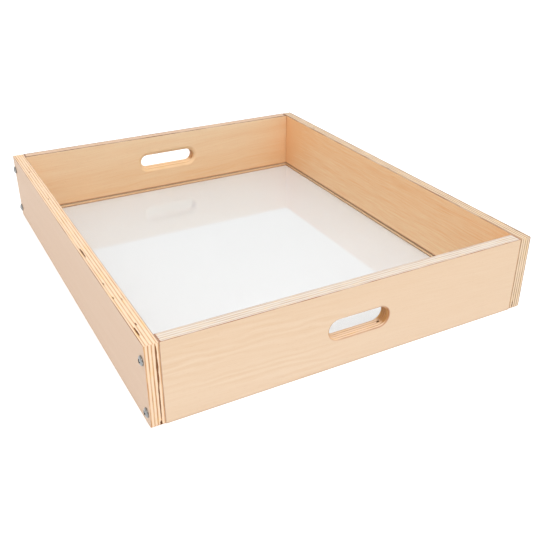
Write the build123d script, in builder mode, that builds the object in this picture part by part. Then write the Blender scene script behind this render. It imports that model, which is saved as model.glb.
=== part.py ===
"""Open tray of birch plywood with a clear acrylic base, held together by eight machine screws.

Millimetres. +Z is up, +X runs along the front wall and +Y from the front wall to the back wall.
The origin is the middle of the footprint, on the surface that the tray stands on.
"""
from build123d import *
import math
import os

os.makedirs("parts", exist_ok=True)

# ---------------------------------------------------------------- driving dimensions
tray_width = 550.0          # outside, across the two side walls, along X
tray_length = 660.0         # outside, along the side walls, along Y
tray_height = 110.0
ply = 18.0                  # wall thickness, 9-ply birch board
arris = 0.8                 # sanded rounding on every exposed board edge
top_corner_radius = 1.6     # rounding of the side walls' two top corners
foot_radius = 3.0           # rounding of the side walls' two bottom corners

# clear base sheet, captive in a groove that runs round all four walls
sheet_thickness = 6.0
groove_floor = 5.0          # height of the groove's lower face
groove_height = 7.0
groove_depth = 6.0
sheet_clearance = 0.5       # gap left between the sheet's edge and the groove's bottom

# hand holes: slots with half-round ends, rounded over on the inner and the outer face
front_hole = {"length": 86.5, "height": 27.0, "centre": 55.0, "inner_round": 3.5, "outer_round": 3.5}
back_hole = {"length": 101.0, "height": 23.0, "centre": 62.5, "inner_round": 9.0, "outer_round": 3.5}

# M6 x 35 pan head machine screws through the side walls, two at each corner
screw_heights = {"lower": 17.0, "upper": 87.0}
screw_length = 35.0
thread_radius = 3.0
clearance_hole_radius = 3.25
head_radius = 6.0
head_height = 3.6
head_edge = 1.6             # height of the head's straight rim, below the dome
recess_span = 6.2           # tip to tip of the cross recess
recess_slot = 1.3
recess_depth = 2.4
recess_taper = 8.0          # degrees that the recess's walls lean in
tip_chamfer = 0.8

# threaded inserts, sunk in the ends of the front and back walls
insert_radius = 5.0
insert_length = 15.0
insert_recess = 1.0         # depth of the insert's face below the wall's end
insert_ridges = 6
insert_ridge_height = 0.6
ridge_start = 0.25          # where a ridge rises, is full height, and ends, in shares of its pitch
ridge_full = 0.50
ridge_crest_end = 0.65
ridge_end = 0.90
insert_bore_radius = 3.05
insert_seat_gap = 0.05      # radial gap between the ridges' crests and the wall
pilot_radius = 3.4          # drilled on past the insert, for the screw's tip
pilot_depth = 22.0

# ---------------------------------------------------------------- derived sizes
half_width = tray_width / 2
half_length = tray_length / 2
inner_width = tray_width - 2 * ply
inner_length = tray_length - 2 * ply
screw_offset = half_length - ply / 2      # screws run along the middle of the front and back walls
sheet_grip = groove_depth - sheet_clearance
groove_reach = inner_length + 2 * groove_depth
dome_rise = head_height - head_edge
dome_radius = (head_radius**2 + dome_rise**2) / (2 * dome_rise)
dome_middle_height = math.sqrt(dome_radius**2 - (head_radius / 2) ** 2)


def side_wall(side):
    """One full-length side wall; side is -1 for the left wall and +1 for the right wall."""
    inner_face = Plane.YZ.offset(side * inner_width / 2)
    with BuildPart() as wall:
        with BuildSketch(inner_face) as outline:
            Rectangle(tray_length, tray_height, align=(Align.CENTER, Align.MIN))
            fillet(outline.vertices().group_by(Axis.Y)[0], radius=foot_radius)
            fillet(outline.vertices().group_by(Axis.Y)[-1], radius=top_corner_radius)
        extrude(amount=side * ply)
        fillet(wall.faces().sort_by(Axis.X)[0].edges(), radius=arris)
        fillet(wall.faces().sort_by(Axis.X)[-1].edges(), radius=arris)
        with BuildSketch(inner_face):
            with Locations((0, groove_floor)):
                Rectangle(groove_reach, groove_height, align=(Align.CENTER, Align.MIN))
        extrude(amount=side * groove_depth, mode=Mode.SUBTRACT)
        with BuildSketch(inner_face):
            for height in screw_heights.values():
                with Locations((-screw_offset, height), (screw_offset, height)):
                    Circle(clearance_hole_radius)
        extrude(amount=side * ply, mode=Mode.SUBTRACT)
    return wall


def end_wall(end, hole):
    """A wall between the side walls; end is -1 for the front wall and +1 for the back wall."""
    # Plane.XZ looks along -Y, so its offset and its extrusions count towards the front
    inner_face = Plane.XZ.offset(-end * inner_length / 2)
    with BuildPart() as wall:
        with BuildSketch(inner_face):
            Rectangle(inner_width, tray_height, align=(Align.CENTER, Align.MIN))
        extrude(amount=-end * ply)
        fillet(wall.edges(), radius=arris)
        with BuildSketch(inner_face):
            with Locations((0, hole["centre"])):
                SlotOverall(hole["length"], hole["height"])
        extrude(amount=-end * ply, mode=Mode.SUBTRACT)
        # index -1 is the face furthest along +Y, which is the inner face of the front wall
        inner_index, outer_index = (-1, 0) if end < 0 else (0, -1)
        for index, radius in ((inner_index, hole["inner_round"]), (outer_index, hole["outer_round"])):
            big_face = wall.faces().filter_by(Axis.Y).sort_by(Axis.Y)[index]
            fillet(big_face.inner_wires().edges(), radius=radius)
        with BuildSketch(inner_face):
            with Locations((0, groove_floor)):
                Rectangle(inner_width, groove_height, align=(Align.CENTER, Align.MIN))
        extrude(amount=-end * groove_depth, mode=Mode.SUBTRACT)
        for side in (-1, 1):
            end_face = Plane.YZ.offset(side * inner_width / 2)
            for radius, depth in ((insert_radius, insert_recess + insert_length), (pilot_radius, pilot_depth)):
                with BuildSketch(end_face):
                    for height in screw_heights.values():
                        with Locations((end * screw_offset, height)):
                            Circle(radius)
                extrude(amount=-side * depth, mode=Mode.SUBTRACT)
    return wall


def machine_screw(side, end, height):
    """Pan head screw with a cross recess, driven from the outside of a side wall towards the middle."""
    seat = Plane(
        origin=(side * half_width, end * screw_offset, height),
        x_dir=(0, 1, 0),
        z_dir=(side, 0, 0),
    )
    profile_plane = Plane(origin=seat.origin, x_dir=(0, 1, 0), z_dir=(0, 0, 1))
    # the profile plane's Y axis runs along -X, so side turns it towards the screw's tip
    crown = (0, -side * head_height)
    dome_middle = (head_radius / 2, -side * (head_height - dome_radius + dome_middle_height))
    rim = (head_radius, -side * head_edge)
    tip = side * screw_length
    with BuildPart() as screw:
        with BuildSketch(profile_plane):
            with BuildLine():
                ThreePointArc(crown, dome_middle, rim)
                Polyline(
                    rim,
                    (head_radius, 0),
                    (thread_radius, 0),
                    (thread_radius, tip - side * tip_chamfer),
                    (thread_radius - tip_chamfer, tip),
                    (0, tip),
                    crown,
                )
            make_face()
        revolve(axis=Axis(seat.origin, (1, 0, 0)))
        with BuildSketch(seat.offset(head_height)):
            Rectangle(recess_span, recess_slot)
            Rectangle(recess_slot, recess_span)
        extrude(amount=-recess_depth, taper=recess_taper, mode=Mode.SUBTRACT)
    return screw


def threaded_insert(side, end, height):
    """Ridged sleeve pressed into a wall's end; its bore takes the screw."""
    ridge_pitch = insert_length / insert_ridges
    crest = insert_radius - insert_seat_gap
    root = crest - insert_ridge_height
    start = Plane(
        origin=(side * (inner_width / 2 - insert_recess), end * screw_offset, height),
        x_dir=(0, 1, 0),
        z_dir=(0, 0, 1),
    )
    # the profile plane's Y axis runs along -X, so side turns it into the wall
    points = [(insert_bore_radius, 0), (root, 0)]
    for ridge in range(insert_ridges):
        base = ridge * ridge_pitch
        points.append((root, side * (base + ridge_start * ridge_pitch)))
        points.append((crest, side * (base + ridge_full * ridge_pitch)))
        points.append((crest, side * (base + ridge_crest_end * ridge_pitch)))
        points.append((root, side * (base + ridge_end * ridge_pitch)))
    points.append((root, side * insert_length))
    points.append((insert_bore_radius, side * insert_length))
    with BuildPart() as insert:
        with BuildSketch(start):
            with BuildLine():
                Polyline(points, close=True)
            make_face()
        revolve(axis=Axis(start.origin, (1, 0, 0)))
    return insert


def save(piece, name):
    piece.part.label = name
    export_step(piece.part, f"parts/{name}.step")


# ---------------------------------------------------------------- walls
with BuildPart() as left_wall:
    add(side_wall(-1).part)
save(left_wall, "left_wall")

with BuildPart() as right_wall:
    add(side_wall(1).part)
save(right_wall, "right_wall")

with BuildPart() as front_wall:
    add(end_wall(-1, front_hole).part)
save(front_wall, "front_wall")

with BuildPart() as back_wall:
    add(end_wall(1, back_hole).part)
save(back_wall, "back_wall")

# ---------------------------------------------------------------- clear base
with BuildPart() as base_sheet:
    with BuildSketch(Plane.XY.offset(groove_floor)):
        Rectangle(inner_width + 2 * sheet_grip, inner_length + 2 * sheet_grip)
    extrude(amount=sheet_thickness)
save(base_sheet, "base_sheet")

# ---------------------------------------------------------------- fixings, two at each corner
for side, side_name in ((-1, "left"), (1, "right")):
    for end, end_name in ((-1, "front"), (1, "back")):
        for level, height in screw_heights.items():
            place = f"{end_name}_{side_name}_{level}"
            save(machine_screw(side, end, height), f"screw_{place}")
            save(threaded_insert(side, end, height), f"insert_{place}")
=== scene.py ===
"""Birch plywood tray with a clear acrylic base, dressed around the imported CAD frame.

Metres, in the CAD frame: +X along the front wall, +Y from the front wall to the back wall, +Z up.
Shader code works in millimetres, measured along a board, up it and through it.
"""
import bmesh
import bpy
import math
from mathutils import Matrix, Vector


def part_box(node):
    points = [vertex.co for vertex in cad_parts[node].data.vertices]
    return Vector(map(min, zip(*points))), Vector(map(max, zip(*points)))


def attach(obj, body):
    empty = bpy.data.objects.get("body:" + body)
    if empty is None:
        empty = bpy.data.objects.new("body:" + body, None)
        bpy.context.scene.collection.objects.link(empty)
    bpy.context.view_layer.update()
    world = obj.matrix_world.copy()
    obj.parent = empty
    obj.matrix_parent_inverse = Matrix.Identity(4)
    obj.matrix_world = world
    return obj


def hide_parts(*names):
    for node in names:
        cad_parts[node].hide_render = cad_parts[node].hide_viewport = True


MM = 0.001

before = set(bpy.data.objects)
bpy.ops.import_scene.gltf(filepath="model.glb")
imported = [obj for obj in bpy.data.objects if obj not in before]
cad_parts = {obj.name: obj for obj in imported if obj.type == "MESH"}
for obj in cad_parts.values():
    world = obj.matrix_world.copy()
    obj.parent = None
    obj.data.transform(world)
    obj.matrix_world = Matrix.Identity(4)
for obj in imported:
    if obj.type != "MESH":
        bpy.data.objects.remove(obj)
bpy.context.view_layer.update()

# ---------------------------------------------------------------- sizes
WALLS = ("left_wall", "right_wall", "front_wall", "back_wall")
left_low, left_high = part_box("left_wall")
sheet_low, sheet_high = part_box("base_sheet")

PLY = left_high.x - left_low.x              # board thickness
TRAY_HEIGHT = left_high.z
HALF_WIDTH = -left_low.x
HALF_LENGTH = left_high.y
INNER_HALF_WIDTH = HALF_WIDTH - PLY
INNER_HALF_LENGTH = HALF_LENGTH - PLY

ARRIS = 0.8 * MM                            # sanded rounding along board edges
TOP_CORNER = 1.6 * MM
FOOT_CORNER = 3.0 * MM
JOINT_GAP = 0.1 * MM                        # end walls stop this short of the side walls
GROOVE_FLOOR = 5.0 * MM
GROOVE_HEIGHT = 6.1 * MM
GROOVE_DEPTH = 6.0 * MM
CUT_MARGIN = 2.0 * MM                       # how far cutters stand out of the wood
SHEET_EASING = 0.4 * MM                     # bevel on the clear sheet's edges

HAND_HOLES = {
    "front_wall": {"length": 86.5 * MM, "height": 27.0 * MM, "centre": 55.0 * MM,
                   "inner_round": 3.5 * MM, "outer_round": 3.5 * MM},
    "back_wall": {"length": 101.0 * MM, "height": 23.0 * MM, "centre": 62.5 * MM,
                  "inner_round": 8.9 * MM, "outer_round": 3.5 * MM},
}
HOLE_END_STEPS = 24                         # segments in each half-round end
ROUND_STEPS = 8                             # segments in each rounded-over edge

SCREW_HEIGHTS = {"lower": 17.0 * MM, "upper": 87.0 * MM}
SCREW_OFFSET = HALF_LENGTH - PLY / 2
CLEARANCE_RADIUS = 3.25 * MM                # hole through a side wall
INSERT_RADIUS = 5.0 * MM                    # holes in an end wall: the insert's, and the pilot's past it
INSERT_REACH = 16.0 * MM
PILOT_RADIUS = 3.4 * MM
PILOT_REACH = 22.0 * MM

# ---------------------------------------------------------------- camera
CAMERA_SENSOR = 36                          # mm
CAMERA_LENS = 48.12                         # mm
CAMERA_PLACE = (-4.1578, -8.6304, 4.9405)   # in tray heights: front left, well above the rim
CAMERA_YAW = -28.649                        # degrees
CAMERA_TILT = -28.882
CAMERA_ROLL = 0.131


def add_camera():
    """The viewpoint, fitted to the straight edges of the photographed tray."""
    data = bpy.data.cameras.new("camera")
    data.sensor_width = CAMERA_SENSOR
    data.lens = CAMERA_LENS
    camera = bpy.data.objects.new("camera", data)
    bpy.context.scene.collection.objects.link(camera)
    place = Matrix.Translation(Vector(CAMERA_PLACE) * TRAY_HEIGHT)
    yaw = Matrix.Rotation(math.radians(CAMERA_YAW), 4, "Z")
    pitch = Matrix.Rotation(math.radians(90 + CAMERA_TILT), 4, "X")
    roll = Matrix.Rotation(math.radians(CAMERA_ROLL), 4, "Z")
    camera.matrix_world = place @ yaw @ pitch @ roll
    bpy.context.scene.camera = camera


# ---------------------------------------------------------------- shader helpers
class Tree:
    """Adds and links the shader nodes of a material or a world. Inputs may be sockets or plain values."""

    def __init__(self, owner):
        owner.use_nodes = True
        self.owner = owner
        self.nodes = owner.node_tree.nodes
        self.links = owner.node_tree.links
        self.shader = self.nodes.get("Principled BSDF")

    def feed(self, socket, value):
        if isinstance(value, bpy.types.NodeSocket):
            self.links.new(value, socket)
        else:
            socket.default_value = value

    def set(self, name, value):
        """Feeds an input of the Principled shader."""
        self.feed(self.shader.inputs[name], value)

    def coordinates(self):
        """Object coordinates in metres, and the surface's normal."""
        node = self.nodes.new("ShaderNodeTexCoord")
        return node.outputs["Object"], node.outputs["Normal"]

    def split(self, vector):
        node = self.nodes.new("ShaderNodeSeparateXYZ")
        self.feed(node.inputs[0], vector)
        return {"X": node.outputs[0], "Y": node.outputs[1], "Z": node.outputs[2]}

    def join(self, x, y, z):
        node = self.nodes.new("ShaderNodeCombineXYZ")
        for socket, value in zip(node.inputs, (x, y, z)):
            self.feed(socket, value)
        return node.outputs[0]

    def math(self, operation, first, second=0.0, third=0.0, clamp=False):
        node = self.nodes.new("ShaderNodeMath")
        node.operation = operation
        node.use_clamp = clamp
        for socket, value in zip(node.inputs, (first, second, third)):
            self.feed(socket, value)
        return node.outputs[0]

    def times(self, first, *others):
        for other in others:
            first = self.math("MULTIPLY", first, other)
        return first

    def add(self, first, *others, clamp=False):
        for other in others:
            first = self.math("ADD", first, other, clamp=clamp)
        return first

    def size(self, value):
        """The value without its sign."""
        return self.math("ABSOLUTE", value)

    def ramp(self, value, low, high, to_low=0.0, to_high=1.0):
        """Smooth step from low to high."""
        node = self.nodes.new("ShaderNodeMapRange")
        node.interpolation_type = "SMOOTHSTEP"
        for socket, given in zip(node.inputs, (value, low, high, to_low, to_high)):
            self.feed(socket, given)
        return node.outputs[0]

    def fall(self, value, low, high, start=1.0):
        """Smooth step from start at low down to 0 at high."""
        return self.ramp(value, low, high, start, 0.0)

    def band(self, value, rise_from, rise_to, fall_from, fall_to):
        """1 inside a span and 0 outside it, with smooth ends."""
        return self.times(self.ramp(value, rise_from, rise_to), self.fall(value, fall_from, fall_to))

    def noise(self, vector, detail=2.0, roughness=0.5):
        node = self.nodes.new("ShaderNodeTexNoise")
        self.feed(node.inputs["Vector"], vector)
        node.inputs["Scale"].default_value = 1.0
        node.inputs["Detail"].default_value = detail
        node.inputs["Roughness"].default_value = roughness
        return node.outputs[0]

    def metre_noise(self, per_metre, detail=2.0, roughness=0.5):
        """Noise with its own frequency, per metre, along X, Y and Z."""
        place, _ = self.coordinates()
        metre = self.split(place)
        spot = [self.math("MULTIPLY", metre[axis], rate) for axis, rate in zip("XYZ", per_metre)]
        return self.noise(self.join(*spot), detail, roughness)

    def mix(self, factor, first, second):
        node = self.nodes.new("ShaderNodeMix")
        node.data_type = "RGBA"
        self.feed(node.inputs[0], factor)
        self.feed(node.inputs[6], first)
        self.feed(node.inputs[7], second)
        return node.outputs[2]

    def bump(self, height, strength, distance):
        node = self.nodes.new("ShaderNodeBump")
        node.inputs["Strength"].default_value = strength
        node.inputs["Distance"].default_value = distance
        self.feed(node.inputs["Height"], height)
        self.set("Normal", node.outputs[0])


def material_tree(name):
    """The tree of a new material, which is the tree's owner."""
    return Tree(bpy.data.materials.new(name))


def srgb(red, green, blue):
    """An 8-bit sRGB colour as linear RGBA."""
    def linear(value):
        share = value / 255
        return share / 12.92 if share <= 0.04045 else ((share + 0.055) / 1.055) ** 2.4
    return (linear(red), linear(green), linear(blue), 1.0)


# ---------------------------------------------------------------- plywood
# lengths are in mm, and a pair is the start and end of a fade
PLIES = 9
BOARD = PLY / MM
MIDDLE = (BOARD / 2 - 1, BOARD / 2 + 1)     # where the outer veneer's colours give way to the inner's
BOARD_APART = 731.0               # shifts along and up a board that give each wall its own pattern
BOARD_ABOVE = 57.0
HOLE_SPAN_FADE = (78, 90)         # the look of the hand hole's plies ends here: from the wall's middle
HOLE_TOP_FADE = (90, 98)          # and above its foot
PLY_WANDER = 0.8                  # how far the plies' lines sway through the board
GLUE = srgb(96, 56, 30)
GLUE_SHARE = (0.02, 0.10)         # the glue line's fade, in shares of a ply
GLUE_STRENGTH = 0.16
CORE_SHARE = (0.02, 0.42)         # where a ply's end grain is darkest, in shares of a ply
END_HALF = (-10, 10)              # end shade falls only on the half of a board past its middle
PATCH_RATE = 0.03                 # frequency of the tone's patches, and their shift from ply to ply
PATCH_APART = 7.3
UNEVENNESS = 1.3                  # how much end grain's darkness varies
AMBER = srgb(238, 196, 118)       # stains, where the noise is between these levels or above them
AMBER_LEVELS = (0.52, 0.75)
AMBER_STRENGTH = 0.35
FIGURE_SWAY = 14.0                # how far the veneer's figure sways up and down
RIPPLE_SPACING = 9.5              # between the ripples of the rotary-cut veneer
RIPPLE_WARP = 14.0                # radians that the ripples are pushed about
RIPPLE_LEVELS = (0.35, 0.65)
RUN_LENGTH = 300                  # from the middle to where look["run"] is full, and how late it sets in
RUN_POWER = 4.0
FLECK = srgb(176, 126, 82)
FLECK_LEVELS = (0.62, 0.80)
FLECK_STRENGTH = 0.26
FACE_FADE = (0.14, 0.26)          # depth at which the face veneer gives way to the cut plies
FACE_LINE = (0.08, 0.28)          # depth at which the dark line under the face veneer sets in
LINE_LEVELS = (0.35, 0.62)        # noise levels over which the line grows from its least strength
LINE_AT_LEAST = 0.45
TOP_FADE = (102.0, 107.0)         # the line is at full strength above this height, and weaker below it
LINE_BELOW = 0.5
JOINT_SHADE_FADE = (-2.4, -1.4)         # painted shade: the dark line drawn along a corner joint for the shadow in its gap, from look["joint"]
JOINT_SHADE_STRENGTH = 0.85
INNER_SKIN = (BOARD - 0.5, BOARD - 0.1)     # where a board's inner face begins
FOOT_SHADE_FADE = (1.4, 2.8)            # painted contact shadow along the foot
FOOT_SHADE = srgb(140, 92, 66)
FOOT_SHADE_OUTSIDE = 0.25
FOOT_SHADE_INSIDE = 0.90
GROOVE_SHADE_HEIGHT = 11.4              # painted shade along the groove's upper edge, where the gap over the sheet lies in shadow
GROOVE_SHADE_FADE = (0.7, 1.8)
GROOVE_SHADE_STRENGTH = 0.6
GROOVE_SHADE = srgb(166, 76, 42)
GROOVE_LIGHT_DEPTHS = (11.0, 11.8, 17.6, 17.9)    # painted light inside the groove, which lies in shade behind the sheet: fades in, then out
GROOVE_LIGHT_HEIGHTS = (4.2, 4.8, 12.0, 12.6)
GROOVE_LIGHT_ENDS = (319, 321)
GROOVE_LIGHT = srgb(255, 234, 204)
WOOD_ROUGHNESS = 0.46             # satin, and rougher along the fibres
FIBRE_ROUGHNESS = 0.16
WOOD_SPECULAR = 0.28
FIBRE_RELIEF = 0.6                # shares of the bump
EDGE_RELIEF = 0.35


def board_space(tree, through, seed):
    """Millimetre coordinates in a board: along it, up it, and depth from its outer face."""
    place, normal = tree.coordinates()
    along_axis = "Y" if through == "X" else "X"
    outer_face = (HALF_WIDTH if through == "X" else HALF_LENGTH) / MM
    metre = tree.split(place)
    facing = tree.split(normal)
    space = {
        "real_along": tree.math("MULTIPLY", metre[along_axis], 1 / MM),
        "real_height": tree.math("MULTIPLY", metre["Z"], 1 / MM),
        "seed": seed,
        "end_facing": tree.math("POWER", tree.size(facing[along_axis]), 2.0),
        "top_facing": tree.math("POWER", tree.size(facing["Z"]), 2.0),
    }
    space["along"] = tree.add(space["real_along"], BOARD_APART * seed)
    space["height"] = tree.add(space["real_height"], BOARD_ABOVE * seed)
    across = tree.math("MULTIPLY", tree.size(metre[through]), 1 / MM)
    space["depth"] = tree.math("SUBTRACT", outer_face, across)
    space["cover"] = tree.math("MINIMUM", space["depth"], tree.math("SUBTRACT", BOARD, space["depth"]))
    space["from_middle"] = tree.size(space["real_along"])
    space["in_hole"] = tree.times(
        tree.fall(space["from_middle"], *HOLE_SPAN_FADE),
        tree.fall(space["real_height"], *HOLE_TOP_FADE),
    )
    return space


def figure_noise(tree, space, along, height, depth=0.0, shift=0.0, detail=2.0, roughness=0.5):
    """Noise stretched by its own frequency (per mm) along, up and through a board."""
    through = tree.math("MULTIPLY_ADD", space["depth"], depth, space["seed"] + shift)
    spot = tree.join(
        tree.math("MULTIPLY", space["along"], along),
        tree.math("MULTIPLY", space["height"], height),
        through,
    )
    return tree.noise(spot, detail, roughness)


def centred(tree, value, gain):
    """Noise moved to straddle zero, times gain."""
    return tree.math("MULTIPLY_ADD", value, gain, -0.5 * gain)


def from_one(tree, amount, target):
    """1 where amount is 0, and target where it is 1."""
    return tree.math("MULTIPLY_ADD", amount, target - 1, 1.0)


def plies(tree, space, look):
    """Each ply's number, the distance to its nearest glue line, and how much end grain it shows."""
    wander = figure_noise(tree, space, along=0.021, height=0.035, shift=31.0)
    shifted = tree.add(space["depth"], centred(tree, wander, PLY_WANDER))
    count = tree.math("MULTIPLY", shifted, PLIES / BOARD)
    ply = tree.math("FLOOR", count)
    share = tree.math("FRACT", count)
    to_glue = tree.math("MINIMUM", share, tree.math("SUBTRACT", 1.0, share))
    # inner plies alternate between grain along the board and upright grain
    upright = tree.math("MODULO", ply, 2.0)
    lying = tree.math("SUBTRACT", 1.0, upright)
    end_grain = tree.add(
        tree.times(upright, space["top_facing"], look["top_dark"]),
        tree.times(lying, space["end_facing"], look["end_dark"]),
    )
    return ply, to_glue, end_grain


def cut_edges(tree, space, look):
    """The plies on a board's cut edges: side grain is light and end grain is dark."""
    ply, to_glue, end_grain = plies(tree, space, look)
    streaks = figure_noise(tree, space, along=0.04, height=0.04, depth=2.4, detail=3.0)
    pores = figure_noise(tree, space, along=0.9, height=0.9, depth=1.5, shift=5.0, detail=4.0, roughness=0.65)
    patches = tree.noise(tree.join(
        tree.math("MULTIPLY", space["along"], PATCH_RATE),
        tree.math("MULTIPLY", space["height"], PATCH_RATE),
        tree.math("MULTIPLY", ply, PATCH_APART),
    ))
    darkness = tree.times(end_grain, tree.ramp(to_glue, *CORE_SHARE))
    uneven = tree.add(centred(tree, patches, gain=1.0), centred(tree, pores, gain=0.7))
    darkness = tree.math("MULTIPLY_ADD", tree.times(uneven, darkness), UNEVENNESS, darkness)
    side_tone = tree.add(centred(tree, streaks, gain=0.5), centred(tree, patches, gain=0.35))
    end_on = tree.ramp(space["end_facing"], *look["shade_from"])
    end_on = tree.times(end_on, tree.ramp(space["real_along"], *END_HALF))
    shade = tree.math("MULTIPLY_ADD", end_on, look["end_shade"], side_tone)
    darkness = tree.add(darkness, shade, clamp=True)
    side_grain = tree.mix(space["in_hole"], look["side_grain"], look["hole_grain"])
    colour = tree.mix(darkness, side_grain, look["end_grain"])
    end_glue = tree.math("MULTIPLY_ADD", space["end_facing"], look["end_glue"] - GLUE_STRENGTH, GLUE_STRENGTH)
    glue = tree.times(tree.fall(to_glue, *GLUE_SHARE), end_glue)
    colour = tree.mix(glue, colour, GLUE)
    amber = figure_noise(tree, space, along=0.05, height=0.05, depth=0.3, shift=47.0)
    colour = tree.mix(tree.ramp(amber, *AMBER_LEVELS, to_high=AMBER_STRENGTH), colour, AMBER)
    return colour, tree.add(streaks, pores)


def veneer_ripple(tree, space, swayed, look):
    """The slanting waves of rotary-cut veneer, which come and go along the board."""
    warp = figure_noise(tree, swayed, along=0.013, height=0.05, shift=12.0, detail=2.0)
    waves = tree.math("MULTIPLY", swayed["height"], 2 * math.pi / RIPPLE_SPACING)
    phase = tree.math("MULTIPLY_ADD", warp, RIPPLE_WARP, waves)
    presence = tree.ramp(figure_noise(tree, space, along=0.006, height=0.03, shift=14.0), *RIPPLE_LEVELS)
    fade = tree.fall(space["real_along"], *look["ripple_fade"])
    return tree.times(tree.math("SINE", phase), tree.times(presence, fade))


def veneer(tree, space, look):
    """The face veneer: long soft bands, slanting ripples, fine fibres and short flecks."""
    sway = figure_noise(tree, space, along=0.007, height=0.02, shift=4.0)
    leaning = tree.math("MULTIPLY_ADD", space["along"], look["slant"], space["height"])
    swayed = dict(space, height=tree.math("MULTIPLY_ADD", sway, FIGURE_SWAY, leaning))
    bands = figure_noise(tree, swayed, along=0.0022, height=0.05, shift=8.0, detail=3.0)
    ripple = veneer_ripple(tree, space, swayed, look)
    fibres = figure_noise(tree, swayed, along=0.012, height=1.1, shift=16.0, detail=3.0)
    streaks = figure_noise(tree, swayed, along=0.022, height=0.42, shift=18.0, detail=3.0, roughness=0.6)
    figure = centred(tree, bands, look["bands"])
    figure = tree.math("MULTIPLY_ADD", ripple, look["ripple"], figure)
    figure = tree.add(figure, centred(tree, fibres, look["fibres"]))
    figure = tree.add(figure, centred(tree, streaks, look["streaks"]))
    height_gain = look["rise"] / (TRAY_HEIGHT / MM)
    rise = tree.math("MULTIPLY_ADD", space["real_height"], height_gain, 0.5 - look["rise"] / 2)
    far = tree.math("MULTIPLY", space["real_along"], 1 / RUN_LENGTH, clamp=True)
    run = tree.times(tree.math("POWER", far, RUN_POWER), look["run"])
    figure = tree.add(tree.add(figure, rise), run, clamp=True)
    is_inner = tree.ramp(space["depth"], *MIDDLE)
    colour = tree.mix(is_inner, tree.mix(figure, *look["outer"]), tree.mix(figure, *look["inner"]))
    flecks = figure_noise(tree, space, along=0.16, height=2.2, shift=20.0, detail=1.0)
    colour = tree.mix(tree.ramp(flecks, *FLECK_LEVELS, to_high=FLECK_STRENGTH), colour, FLECK)
    return colour, fibres


def face_lines(tree, space, look, colour):
    """The dark line that each face veneer's glue leaves along the board's edges."""
    line = tree.band(space["cover"], *FACE_LINE, *look["line_end"])
    patchy = figure_noise(tree, space, along=0.015, height=0.05, shift=61.0, detail=3.0)
    patchy = tree.ramp(patchy, *LINE_LEVELS, to_low=LINE_AT_LEAST)
    near_top = tree.ramp(space["real_height"], *TOP_FADE, to_low=LINE_BELOW)
    reach = tree.math("MULTIPLY_ADD", space["in_hole"], look["hole_line"] - LINE_BELOW, near_top)
    reach = tree.times(reach, from_one(tree, space["end_facing"], look["end_line"]))
    return tree.mix(tree.times(line, patchy, reach), colour, look["line"])


def painted_shade_and_light(tree, space, look, colour):
    """Painted shade and light: dark lines for the shadow in the corner joints, a contact shadow along the
    foot, shade along the groove's upper edge, and light inside the groove.
    """
    # painted shade over the corner joints' tops
    joint = tree.ramp(space["from_middle"], *(look["joint"] + shift for shift in JOINT_SHADE_FADE))
    joint = tree.times(joint, space["top_facing"], JOINT_SHADE_STRENGTH)
    colour = tree.mix(joint, colour, look["line"])
    inside = tree.ramp(space["depth"], *INNER_SKIN)
    # painted contact shadow along the foot, strongest on the inner faces
    foot = tree.fall(space["real_height"], *FOOT_SHADE_FADE)
    foot = tree.times(foot, tree.math("MULTIPLY_ADD", inside, FOOT_SHADE_INSIDE - FOOT_SHADE_OUTSIDE, FOOT_SHADE_OUTSIDE))
    colour = tree.mix(foot, colour, FOOT_SHADE)
    # painted shade along the groove's upper edge
    from_groove = tree.size(tree.math("SUBTRACT", space["real_height"], GROOVE_SHADE_HEIGHT))
    groove_shade = tree.times(tree.fall(from_groove, *GROOVE_SHADE_FADE, GROOVE_SHADE_STRENGTH), inside)
    colour = tree.mix(groove_shade, colour, GROOVE_SHADE)
    # painted light inside the shaded groove
    groove_light = tree.times(
        tree.band(space["depth"], *GROOVE_LIGHT_DEPTHS),
        tree.band(space["real_height"], *GROOVE_LIGHT_HEIGHTS),
        tree.fall(space["from_middle"], *GROOVE_LIGHT_ENDS),
    )
    return tree.mix(groove_light, colour, GROOVE_LIGHT)


def plywood(name, through, seed, look):
    """Solid nine-ply wood for one wall, so that faces, rounded edges and holes all agree."""
    tree = material_tree(name)
    space = board_space(tree, through, seed)
    edge_colour, edge_relief = cut_edges(tree, space, look)
    face_colour, fibres = veneer(tree, space, look)
    colour = tree.mix(tree.ramp(space["cover"], *FACE_FADE), face_colour, edge_colour)
    colour = face_lines(tree, space, look, colour)
    colour = painted_shade_and_light(tree, space, look, colour)
    tree.set("Base Color", colour)
    tree.set("Roughness", tree.math("MULTIPLY_ADD", fibres, FIBRE_ROUGHNESS, WOOD_ROUGHNESS))
    tree.set("Specular IOR Level", WOOD_SPECULAR)
    edge_relief = tree.math("MULTIPLY", edge_relief, EDGE_RELIEF)
    relief = tree.math("MULTIPLY_ADD", fibres, FIBRE_RELIEF, edge_relief)
    tree.bump(relief, strength=0.25, distance=0.10 * MM)
    return tree.owner


# Each wall: the axis across it, its seed and its look. Colours in pairs are (light, dark).
# outer, inner: the face veneers. bands, ripple, fibres, streaks: strengths of their figure. slant: its
#   slope. rise, run: how much it darkens towards the top and the far end. ripple_fade: where, along the
#   board, the ripple ends.
# side_grain, end_grain: the cut plies, and hole_grain those in the hand hole. top_dark, end_dark: how
#   strongly end grain shows on top edges and board ends. end_shade darkens all plies on an end that
#   faces along the board by shade_from. end_glue: strength of the glue lines there.
# line: the dark line under the face veneers, which ends at the depths line_end. end_line, hole_line:
#   its strength on board ends and in the hand hole. joint: distance from the wall's middle of the corner
#   joint's painted shade line. A distance beyond the wall's end switches a feature off.
END_OUTER = (srgb(224, 201, 176), srgb(216, 186, 154))
SIDE_OUTER = (srgb(210, 184, 162), srgb(201, 172, 146))
INNER_SIDE = (srgb(251, 219, 178), srgb(242, 189, 137))
INNER_END = (srgb(250, 223, 187), srgb(238, 191, 142))
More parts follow.
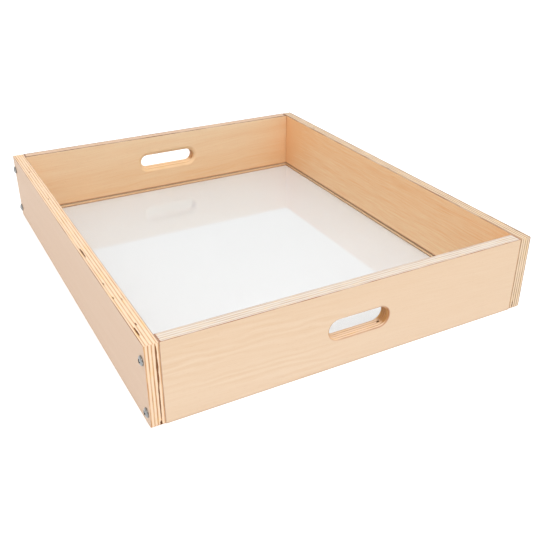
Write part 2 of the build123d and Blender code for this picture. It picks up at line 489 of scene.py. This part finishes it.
WALL_LOOKS = {
    "left_wall": ("X", 1.0, {
        "outer": SIDE_OUTER, "inner": INNER_SIDE, "line": srgb(124, 66, 34),
        "side_grain": srgb(241, 211, 180), "end_grain": srgb(186, 132, 84),
        "hole_grain": srgb(241, 211, 180), "hole_line": 0.5,
        "top_dark": 0.75, "end_dark": 1.0, "end_shade": 0.0,
        "bands": 0.7, "ripple": 0.05, "fibres": 0.3, "streaks": 0.4, "slant": 0.01, "rise": 0.0, "run": 0.0,
        "shade_from": (0.0, 1.0), "end_glue": 0.35, "ripple_fade": (900, 1000),
        "line_end": (0.6, 1.0), "end_line": 0.2, "joint": 1000}),
    "right_wall": ("X", 2.0, {
        "outer": SIDE_OUTER, "inner": INNER_SIDE, "line": srgb(124, 66, 34),
        "side_grain": srgb(226, 202, 173), "end_grain": srgb(142, 104, 70),
        "hole_grain": srgb(241, 211, 180), "hole_line": 0.5,
        "top_dark": 0.9, "end_dark": 0.9, "end_shade": 0.0,
        "bands": 1.0, "ripple": 0.05, "fibres": 1.0, "streaks": 1.5, "slant": 0.0, "rise": 0.5, "run": 0.8,
        "shade_from": (0.0, 1.0), "end_glue": 0.16, "ripple_fade": (900, 1000),
        "line_end": (1.3, 2.2), "end_line": 0.6, "joint": 1000}),
    "front_wall": ("Y", 3.0, {
        "outer": END_OUTER, "inner": INNER_END, "line": srgb(150, 84, 44),
        "side_grain": srgb(221, 211, 199), "end_grain": srgb(172, 122, 70),
        "hole_grain": srgb(236, 206, 176), "hole_line": 0.6,
        "top_dark": 0.6, "end_dark": 0.6, "end_shade": 0.85,
        "bands": 0.35, "ripple": 0.28, "fibres": 0.7, "streaks": 0.6, "slant": 0.05, "rise": 0.35, "run": 0.1,
        "shade_from": (0.0, 0.5), "end_glue": 0.16, "ripple_fade": (-80, 40),
        "line_end": (0.9, 1.4), "end_line": 1.0, "joint": 257}),
    "back_wall": ("Y", 4.0, {
        "outer": END_OUTER, "inner": INNER_END, "line": srgb(104, 54, 28),
        "side_grain": srgb(221, 192, 167), "end_grain": srgb(172, 118, 70),
        "hole_grain": srgb(247, 211, 168), "hole_line": 0.0,
        "top_dark": 0.6, "end_dark": 0.6, "end_shade": 0.8,
        "bands": 0.8, "ripple": 0.05, "fibres": 0.6, "streaks": 0.5, "slant": -0.05, "rise": -0.6, "run": 0.8,
        "shade_from": (0.15, 0.7), "end_glue": 0.16, "ripple_fade": (900, 1000),
        "line_end": (2.0, 2.8), "end_line": 1.0, "joint": 257}),
}


# ---------------------------------------------------------------- other materials
TARNISH = 0.2                               # how much rougher metal is in its dull patches


def void_wood():
    """Torn wood at the bottom of a gap in an inner ply, darker than the cut plies: partly the torn wood's own
    colour, partly painted shade in the gap.
    """
    tree = material_tree("void_wood")
    torn = tree.metre_noise((900.0, 500.0, 500.0), detail=4.0, roughness=0.7)
    tree.set("Base Color", tree.mix(torn, srgb(84, 48, 24), srgb(156, 104, 62)))
    tree.set("Roughness", 0.9)
    tree.bump(torn, strength=0.6, distance=0.3 * MM)
    return tree.owner


def clear_acrylic():
    """Polished clear sheet. Its shadow ray passes straight through, as light does through acrylic."""
    tree = material_tree("clear_acrylic_sheet")
    tree.set("Base Color", (0.90, 0.905, 0.905, 1))
    tree.set("Roughness", 0.0)
    tree.set("IOR", 1.49)
    tree.set("Transmission Weight", 1.0)
    rays = tree.nodes.new("ShaderNodeLightPath")
    clear = tree.nodes.new("ShaderNodeBsdfTransparent")
    blend = tree.nodes.new("ShaderNodeMixShader")
    tree.feed(blend.inputs[0], rays.outputs["Is Shadow Ray"])
    tree.feed(blend.inputs[1], tree.shader.outputs[0])
    tree.feed(blend.inputs[2], clear.outputs[0])
    tree.feed(tree.nodes["Material Output"].inputs[0], blend.outputs[0])
    return tree.owner


def metal(name, light, dark, roughness):
    """Plated metal with fine turning marks and a slightly uneven shine."""
    tree = material_tree(name)
    cloud = tree.metre_noise((420.0, 420.0, 420.0), detail=4.0, roughness=0.6)
    grit = tree.metre_noise((5200.0, 2600.0, 2600.0))
    tree.set("Base Color", tree.mix(cloud, light, dark))
    tree.set("Metallic", 1.0)
    tree.set("Roughness", tree.math("MULTIPLY_ADD", cloud, TARNISH, roughness))
    tree.bump(grit, strength=0.15, distance=0.05 * MM)
    return tree.owner


# ---------------------------------------------------------------- mesh helpers
PARALLEL = 0.99                             # cosine above which two directions count as the same
# how ragged a gap's outline is: size and rate of each wave, and its turn with the seed
RAGGED_WAVES = ((0.22, 9.0, 1.0), (0.14, 23.0, 2.3))
VOID_SEED_STEP = 1.7


def new_object(name, mesh):
    thing = bpy.data.objects.new(name, mesh)
    bpy.context.scene.collection.objects.link(thing)
    return thing


def mesh_from(bm, name, *materials):
    """Turns bm into a mesh and frees bm."""
    mesh = bpy.data.meshes.new(name)
    bm.to_mesh(mesh)
    bm.free()
    for material in materials:
        mesh.materials.append(material)
    return mesh


def box_into(bm, low, high):
    """Adds an axis-aligned box to bm."""
    made = bmesh.ops.create_cube(bm, size=1.0)
    low, high = Vector(low), Vector(high)
    for vertex in made["verts"]:
        vertex.co = Vector((low[i] if vertex.co[i] < 0 else high[i]) for i in range(3))


def runs_along(edge, axis):
    direction = edge.verts[1].co - edge.verts[0].co
    return abs(direction[axis]) > PARALLEL * direction.length


def bevel(bm, edges, width, segments):
    bmesh.ops.bevel(
        bm, geom=list(edges), offset=width, offset_type="OFFSET", segments=segments,
        profile=0.5, affect="EDGES", clamp_overlap=True,
    )


def board(name, low, high, through):
    """A board with sanded edges. through is 0 or 1, the axis across it; side walls have softer corners."""
    bm = bmesh.new()
    box_into(bm, low, high)
    if through == 0:
        middle = (low[2] + high[2]) / 2
        across = [edge for edge in bm.edges if runs_along(edge, through)]
        bevel(bm, [edge for edge in across if edge.verts[0].co.z < middle], FOOT_CORNER, 6)
        across = [edge for edge in bm.edges if runs_along(edge, through)]
        near_rim = high[2] - FOOT_CORNER
        bevel(bm, [edge for edge in across if edge.verts[0].co.z > near_rim], TOP_CORNER, 4)
        bm.normal_update()
        rims = [
            edge for edge in bm.edges
            if sum(abs(face.normal[through]) > PARALLEL for face in edge.link_faces) == 1
        ]
    else:
        rims = list(bm.edges)
    bevel(bm, rims, ARRIS, 3)
    return new_object(name, mesh_from(bm, name))


def tube_into(bm, centre, axis, radius, start, end, sides=32):
    """Adds a closed cylinder along an axis, from start to end."""
    rings = []
    for station in (start, end):
        ring = []
        for step in range(sides):
            angle = 2 * math.pi * step / sides
            spot = Vector(centre)
            spot[axis] = station
            spot[(axis + 1) % 3] += radius * math.cos(angle)
            spot[(axis + 2) % 3] += radius * math.sin(angle)
            ring.append(bm.verts.new(spot))
        rings.append(ring)
    skin(bm, rings)


def circle_into(bm, radius, height, sides):
    """Adds a ring of vertices round the Z axis."""
    angles = [2 * math.pi * step / sides for step in range(sides)]
    return [bm.verts.new((radius * math.cos(angle), radius * math.sin(angle), height)) for angle in angles]


def skin(bm, rings):
    """Closes a stack of rings of equal length into a solid."""
    count = len(rings[0])
    bm.faces.new(rings[0])
    bm.faces.new(rings[-1])
    for first, second in zip(rings, rings[1:]):
        for step in range(count):
            following = (step + 1) % count
            bm.faces.new((first[step], first[following], second[following], second[step]))


def slot_outline(length, height, grow):
    """Points of a slot with half-round ends, grown all round by grow."""
    radius = height / 2 + grow
    straight = (length - height) / 2
    points = []
    for side in (1, -1):
        for step in range(HOLE_END_STEPS + 1):
            angle = math.pi * step / HOLE_END_STEPS - math.pi / 2
            points.append((side * (straight + radius * math.cos(angle)), side * radius * math.sin(angle)))
    return points


def rounding(radius):
    """(depth, growth) of a rounded-over edge, from just inside the face to the straight wall."""
    stations = []
    for step in range(1, ROUND_STEPS + 1):
        angle = math.pi / 2 * step / ROUND_STEPS
        stations.append((radius * (1 - math.cos(angle)), radius * (1 - math.sin(angle))))
    return stations


def hole_into(bm, hole, end):
    """Adds the cutter of a hand hole, rounded over at both faces of an end wall."""
    outer = rounding(hole["outer_round"])
    inner = rounding(hole["inner_round"])
    stations = [(-CUT_MARGIN, outer[0][1])] + outer
    stations += [(PLY - depth, grow) for depth, grow in reversed(inner)]
    stations.append((PLY + CUT_MARGIN, inner[0][1]))
    rings = []
    for depth, grow in stations:
        y = end * (HALF_LENGTH - depth)
        outline = slot_outline(hole["length"], hole["height"], grow)
        rings.append([bm.verts.new((x, y, hole["centre"] + z)) for x, z in outline])
    skin(bm, rings)


def void_into(bm, centre, size, seed):
    """Adds a ragged lens, in mm: a gap in a ply, longest along one axis, with faces of dark wood, partly
    painted shade.
    """
    centre = Vector([MM * value for value in centre])
    size = [MM * value for value in size]
    made = bmesh.ops.create_icosphere(bm, subdivisions=3, radius=0.5)
    longest = max(range(3), key=lambda axis: size[axis])
    for vertex in made["verts"]:
        share = 2 * vertex.co[longest]
        ragged = 1 + sum(wave * math.sin(rate * share + turn * seed) for wave, rate, turn in RAGGED_WAVES)
        spot = Vector((vertex.co[i] * size[i] for i in range(3)))
        for axis in range(3):
            if axis != longest:
                spot[axis] *= ragged
        vertex.co = spot + centre
    mark_cut(bm)


def mark_cut(bm):
    """Gives the second material to every face that the cutters in bm leave behind."""
    for face in bm.faces:
        face.material_index = 1


def cut(thing, bm, overlapping=False):
    """Takes the cutters in bm out of thing and frees bm."""
    bmesh.ops.recalc_face_normals(bm, faces=bm.faces)
    cutter = new_object("cutters", mesh_from(bm, "cutters", *thing.data.materials))
    modifier = thing.modifiers.new("cut", "BOOLEAN")
    modifier.operation = "DIFFERENCE"
    modifier.solver = "EXACT"
    modifier.use_self = overlapping
    modifier.object = cutter
    apply_modifiers(thing)
    bpy.data.objects.remove(cutter)


def apply_modifiers(thing):
    graph = bpy.context.evaluated_depsgraph_get()
    mesh = bpy.data.meshes.new_from_object(thing.evaluated_get(graph))
    thing.modifiers.clear()
    thing.data = mesh


def smooth(thing, degrees=35):
    """Smooth shading with flat faces kept flat and edges over the angle kept sharp."""
    thing.data.shade_smooth()
    thing.data.set_sharp_from_angle(angle=math.radians(degrees))
    weighted = thing.modifiers.new("weighted", "WEIGHTED_NORMAL")
    weighted.keep_sharp = True
    apply_modifiers(thing)


def finish_piece(thing, node):
    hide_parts(node)
    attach(thing, "root")


# ---------------------------------------------------------------- boards
# gaps and knots in the boards' edges: centre and size in mm
EDGE_VOIDS = {
    "left_wall": [
        ((-270.7, -90.5, 110.0), (1.9, 30.0, 3.2)),
        ((-270.9, -299.4, 110.0), (2.0, 19.0, 3.2)),
        ((-266.6, 108.9, 110.0), (1.3, 4.0, 1.6)),
        ((-266.6, 236.3, 110.0), (1.2, 5.0, 1.6)),
        ((-271.4, -181.7, 110.0), (1.5, 5.5, 2.0)),
        ((-271.3, -219.2, 110.0), (1.6, 5.0, 2.0)),
        ((-263.2, -226.3, 110.0), (1.1, 4.0, 1.6)),
        ((-266.8, -284.8, 110.0), (1.4, 6.5, 2.0)),
        ((-261.5, -330.0, 80.0), (2.4, 0.9, 56.0)),
        ((-262.0, -330.0, 34.0), (1.6, 0.9, 50.0)),
        ((-262.6, -330.0, 3.5), (2.4, 3.6, 8.0)),
    ],
    "right_wall": [
        ((263.6, 216.6, 110.0), (1.6, 6.0, 2.0)),
        ((271.8, -306.0, 110.0), (1.2, 22.0, 2.4)),
        ((260.0, -26.8, 110.0), (1.0, 14.0, 1.6)),
        ((262.0, -330.0, 8.0), (1.8, 3.0, 11.0)),
    ],
    "front_wall": [
        ((34.8, -321.1, 41.6), (6.0, 2.6, 4.0)),
    ],
    "back_wall": [
        ((-69.4, 313.9, 110.0), (6.0, 1.2, 1.6)),
        ((14.0, 314.4, 110.0), (22.0, 1.0, 1.6)),
        ((140.3, 313.8, 110.0), (6.0, 1.2, 1.8)),
    ],
}


def groove_into(bm, through, sign):
    """Adds the cutter of the sheet's groove, which stops inside the side walls' ends."""
    if through == 0:
        face, reach = INNER_HALF_WIDTH, INNER_HALF_LENGTH + GROOVE_DEPTH
    else:
        face, reach = INNER_HALF_LENGTH, INNER_HALF_WIDTH + CUT_MARGIN
    near, far = sorted((sign * (face - CUT_MARGIN), sign * (face + GROOVE_DEPTH)))
    top = GROOVE_FLOOR + GROOVE_HEIGHT
    if through == 0:
        box_into(bm, (near, -reach, GROOVE_FLOOR), (far, reach, top))
    else:
        box_into(bm, (-reach, near, GROOVE_FLOOR), (reach, far, top))


def screw_holes_into(bm, through, sign):
    """Adds the cutters of the four screws' holes; in an end wall each has a wide and a narrow part."""
    for level in SCREW_HEIGHTS.values():
        for end in (-1, 1):
            if through == 0:
                spot = (0, end * SCREW_OFFSET, level)
                start = sign * (INNER_HALF_WIDTH - CUT_MARGIN)
                tube_into(bm, spot, 0, CLEARANCE_RADIUS, start, sign * (HALF_WIDTH + CUT_MARGIN))
            else:
                spot = (0, sign * SCREW_OFFSET, level)
                start = end * (INNER_HALF_WIDTH + CUT_MARGIN)
                tube_into(bm, spot, 0, INSERT_RADIUS, start, end * (INNER_HALF_WIDTH - INSERT_REACH))
                tube_into(bm, spot, 0, PILOT_RADIUS, start, end * (INNER_HALF_WIDTH - PILOT_REACH))


def make_wall(name, material, void_material):
    """One plywood wall with its groove, hand hole, screw holes and gaps."""
    low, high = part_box(name)
    through = 0 if name in ("left_wall", "right_wall") else 1
    sign = -1 if name in ("left_wall", "front_wall") else 1
    if through == 1:
        low.x += JOINT_GAP
        high.x -= JOINT_GAP
    wall = board(name + "_board", low, high, through)
    wall.data.materials.append(material)
    wall.data.materials.append(void_material)

    bm = bmesh.new()
    groove_into(bm, through, sign)
    if name in HAND_HOLES:
        hole_into(bm, HAND_HOLES[name], sign)
    screw_holes_into(bm, through, sign)
    cut(wall, bm)
    for index, (centre, size) in enumerate(EDGE_VOIDS[name]):
        bm = bmesh.new()
        void_into(bm, centre, size, VOID_SEED_STEP * index)
        cut(wall, bm)
    smooth(wall)
    finish_piece(wall, name)


def make_sheet(material):
    """The clear base, with polished, slightly eased edges."""
    bm = bmesh.new()
    box_into(bm, sheet_low, sheet_high)
    bevel(bm, list(bm.edges), SHEET_EASING, 2)
    sheet = new_object("base_panel", mesh_from(bm, "base_panel", material))
    smooth(sheet)
    finish_piece(sheet, "base_sheet")


# ---------------------------------------------------------------- screws
HEAD_RADIUS = 6.0 * MM
HEAD_HEIGHT = 3.6 * MM
HEAD_EDGE = 1.6 * MM                        # height of the head's straight rim, below the dome
HEAD_EASING = 0.4 * MM
HEAD_SIDES = 64
DOME_STEPS = 10
THREAD_RADIUS = 3.0 * MM
THREAD_DEPTH = 0.55 * MM
THREAD_PITCH = 1.0 * MM
THREAD_SIDES = 24
ROWS_PER_PITCH = 6
TIP_TAPER = 0.9 * MM
SCREW_LENGTH = 35.0 * MM
RECESS_DEPTH = 2.4 * MM
RECESS_SPAN = 7.4 * MM
RECESS_SLOT = 1.9 * MM
# height over the head's top, and the arm's span and slot as shares of the recess's
RECESS_TAPER = ((MM, 1.08, 1.05), (-RECESS_DEPTH, 0.62, 0.8))
# height over the head's top, and radius of the recess's round mouth
MOUTH_TAPER = ((MM, 2.3 * MM), (-1.5 * MM, 1.1 * MM))
MOUTH_SIDES = 24
TURNS = {"lower": 0.35, "upper": math.pi / 4 + 0.15}     # radians that the cross is turned by
TURN_STEP = 0.6


def head_into(bm):
    """Adds the pan head, its profile turned about +Z with the seat at z = 0."""
    rise = HEAD_HEIGHT - HEAD_EDGE
    dome = (HEAD_RADIUS**2 + rise**2) / (2 * rise)
    profile = [
        (THREAD_RADIUS - THREAD_DEPTH, 0.0),
        (HEAD_RADIUS - HEAD_EASING, 0.0),
        (HEAD_RADIUS, HEAD_EASING),
        (HEAD_RADIUS, HEAD_EDGE - 0.3 * MM),
    ]
    for step in range(1, DOME_STEPS):
        radius = HEAD_RADIUS * (1 - step / DOME_STEPS)
        profile.append((radius, HEAD_HEIGHT - dome + math.sqrt(dome**2 - radius**2)))
    skin(bm, [circle_into(bm, radius, height, HEAD_SIDES) for radius, height in profile])


def recess_into(bm, turn):
    """Adds the cutters of a cross recess: two tapered arms and a round mouth."""
    for quarter in (0, math.pi / 2):
        spin = Matrix.Rotation(turn + quarter, 2)
        arms = []
        for height, span_share, slot_share in RECESS_TAPER:
            x = RECESS_SPAN / 2 * span_share
            y = RECESS_SLOT / 2 * slot_share
            corners = [spin @ Vector(corner) for corner in ((-x, -y), (x, -y), (x, y), (-x, y))]
            arms.append([bm.verts.new((*corner, HEAD_HEIGHT + height)) for corner in corners])
        skin(bm, arms)
    skin(bm, [circle_into(bm, radius, HEAD_HEIGHT + height, MOUTH_SIDES) for height, radius in MOUTH_TAPER])


def thread_into(bm):
    """Adds the threaded shank as one helical surface, tapering out at its tip."""
    rows = round(SCREW_LENGTH / THREAD_PITCH * ROWS_PER_PITCH)
    rings = []
    for row in range(rows + 1):
        height = -SCREW_LENGTH * row / rows
        left = SCREW_LENGTH + height
        ring = []
        for step in range(THREAD_SIDES):
            angle = 2 * math.pi * step / THREAD_SIDES
            phase = (height / THREAD_PITCH - step / THREAD_SIDES) % 1.0
            ridge = 1 - abs(2 * phase - 1)
            radius = THREAD_RADIUS - THREAD_DEPTH * (1 - ridge)
            radius = min(radius, THREAD_RADIUS - TIP_TAPER + left)
            ring.append(bm.verts.new((radius * math.cos(angle), radius * math.sin(angle), height)))
        rings.append(ring)
    skin(bm, rings)


def screw_mesh(turn, plated, recess_shade):
    """A pan head screw along -Z with its seat at z = 0; turn is the recess's angle."""
    bm = bmesh.new()
    head_into(bm)
    bmesh.ops.recalc_face_normals(bm, faces=bm.faces)
    head = new_object("screw_head", mesh_from(bm, "screw_head", plated, recess_shade))
    bm = bmesh.new()
    recess_into(bm, turn)
    # the recess's faces take the second, near-black material: painted shade
    mark_cut(bm)
    cut(head, bm, overlapping=True)

    bm = bmesh.new()
    bm.from_mesh(head.data)
    thread_into(bm)
    bmesh.ops.recalc_face_normals(bm, faces=bm.faces)
    bpy.data.objects.remove(head)
    return mesh_from(bm, "screw", plated, recess_shade)


def make_screws(plated, recess_shade):
    index = 0
    for side, side_name in ((-1, "left"), (1, "right")):
        for end, end_name in ((-1, "front"), (1, "back")):
            for level, height in SCREW_HEIGHTS.items():
                place = f"{end_name}_{side_name}_{level}"
                mesh = screw_mesh(TURNS[level] + TURN_STEP * index, plated, recess_shade)
                seat = Matrix.Translation((side * HALF_WIDTH, end * SCREW_OFFSET, height))
                mesh.transform(seat @ Matrix.Rotation(side * math.pi / 2, 4, "Y"))
                screw = new_object("machine_screw_" + place, mesh)
                smooth(screw, 30)
                finish_piece(screw, "screw_" + place)
                index += 1


# ---------------------------------------------------------------- studio
FLOOR_REACH = 12.0
FLOOR_COLOUR = (0.68, 0.68, 0.68, 1)
GLOW_INSIDE = 0.16                          # the floor's own light inside the tray and around it
GLOW_OUTSIDE = 0.52
GLOW_FRONT = 0.34                           # beside the front wall, which shades the floor from the key light
GLOW_FRONT_REACH = 0.2
GLOW_FADE = 5 * MM                          # each way from the middle of a wall

KEY_PLACE = (-0.4, -1.7, 2.7)
KEY_SIZE = 2.2
KEY_POWER = 44                              # watts

SKY_COLOUR = (1.0, 1.0, 1.0, 1)
RAIL_COLOUR = (0.77, 0.58, 0.39, 1)
ROOM_COLOUR = (0.12, 0.11, 0.10, 1)
RAIL_TOP = 0.502                            # height over distance, seen from the tray
RAIL_FOOT = 0.38
RAIL_TOP_FADE = (-0.006, 0.006)             # fades of the bands, in components of the direction
RAIL_FOOT_FADE = (-0.03, 0.03)
RAIL_BEHIND = (0.3, 0.5)
ROOM_IN_FRONT = (-0.9, -0.5)
ROOM_TOP = (0.35, 0.6)


def add_floor():
    """A pale floor that glows a little, like a lit studio table, so that shadows stay faint."""
    mesh = bpy.data.meshes.new("floor")
    corners = [(x * FLOOR_REACH, y * FLOOR_REACH, 0) for x, y in ((-1, -1), (1, -1), (1, 1), (-1, 1))]
    mesh.from_pydata(corners, [], [(0, 1, 2, 3)])
    floor = new_object("floor", mesh)
    tree = material_tree("pale_floor")
    tree.set("Base Color", FLOOR_COLOUR)
    tree.set("Roughness", 0.9)
    tree.set("Specular IOR Level", 0.0)
    tree.set("Emission Color", (1, 1, 1, 1))
    place, _ = tree.coordinates()
    metre = tree.split(place)
    past_side = tree.math("SUBTRACT", tree.size(metre["X"]), HALF_WIDTH - PLY / 2)
    past_end = tree.math("SUBTRACT", tree.size(metre["Y"]), HALF_LENGTH - PLY / 2)
    front_end = GLOW_FRONT_REACH - HALF_LENGTH
    inside = tree.ramp(metre["Y"], -HALF_LENGTH, front_end, GLOW_FRONT, GLOW_INSIDE)
    past = tree.math("MAXIMUM", past_side, past_end)
    tree.set("Emission Strength", tree.ramp(past, -GLOW_FADE, GLOW_FADE, inside, GLOW_OUTSIDE))
    mesh.materials.append(tree.owner)


def add_key_light():
    """One large soft light, front left and above, aimed at the middle of the tray's foot."""
    data = bpy.data.lights.new("key", "AREA")
    data.energy = KEY_POWER
    data.size = KEY_SIZE
    light = new_object("key", data)
    light.location = KEY_PLACE
    light.rotation_euler = (-Vector(KEY_PLACE)).to_track_quat("-Z", "Y").to_euler()


def add_world():
    """White surroundings with two darker bands: a rail behind the tray and the room in front of it.

    Only reflections and soft light meet the bands; the backdrop itself stays white.
    """
    world = bpy.data.worlds.new("studio")
    bpy.context.scene.world = world
    tree = Tree(world)
    direction = tree.split(tree.nodes.new("ShaderNodeTexCoord").outputs["Generated"])
    over_rail = tree.math("MULTIPLY_ADD", direction["Y"], -RAIL_TOP, direction["Z"])
    under_rail = tree.math("MULTIPLY_ADD", direction["Y"], -RAIL_FOOT, direction["Z"])
    rail = tree.times(
        tree.fall(over_rail, *RAIL_TOP_FADE),
        tree.ramp(under_rail, *RAIL_FOOT_FADE),
        tree.ramp(direction["Y"], *RAIL_BEHIND),
    )
    room = tree.times(
        tree.fall(direction["Y"], *ROOM_IN_FRONT),
        tree.fall(direction["Z"], *ROOM_TOP),
    )
    colour = tree.mix(room, tree.mix(rail, SKY_COLOUR, RAIL_COLOUR), ROOM_COLOUR)
    seen = tree.nodes.new("ShaderNodeLightPath").outputs["Is Camera Ray"]
    tree.feed(tree.nodes["Background"].inputs["Color"], tree.mix(seen, colour, SKY_COLOUR))


def add_studio():
    add_world()
    add_key_light()
    add_floor()
    bpy.context.scene.view_settings.view_transform = "Standard"


# ---------------------------------------------------------------- assembly
add_camera()
void_material = void_wood()
for wall_name in WALLS:
    through, seed, look = WALL_LOOKS[wall_name]
    make_wall(wall_name, plywood("plywood_" + wall_name, through, seed, look), void_material)
make_sheet(clear_acrylic())
make_screws(
    metal("zinc_plate", (0.47, 0.48, 0.48, 1), (0.15, 0.155, 0.16, 1), 0.16),
    # near-black metal in the cross recesses: painted shade
    metal("recess_shade_metal", (0.09, 0.09, 0.09, 1), (0.04, 0.04, 0.045, 1), 0.5),
)
brass = metal("brass_insert", (0.80, 0.62, 0.30, 1), (0.62, 0.44, 0.18, 1), 0.28)
for node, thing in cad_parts.items():
    if node.startswith("insert_"):
        thing.data.materials.clear()
        thing.data.materials.append(brass)
add_studio()
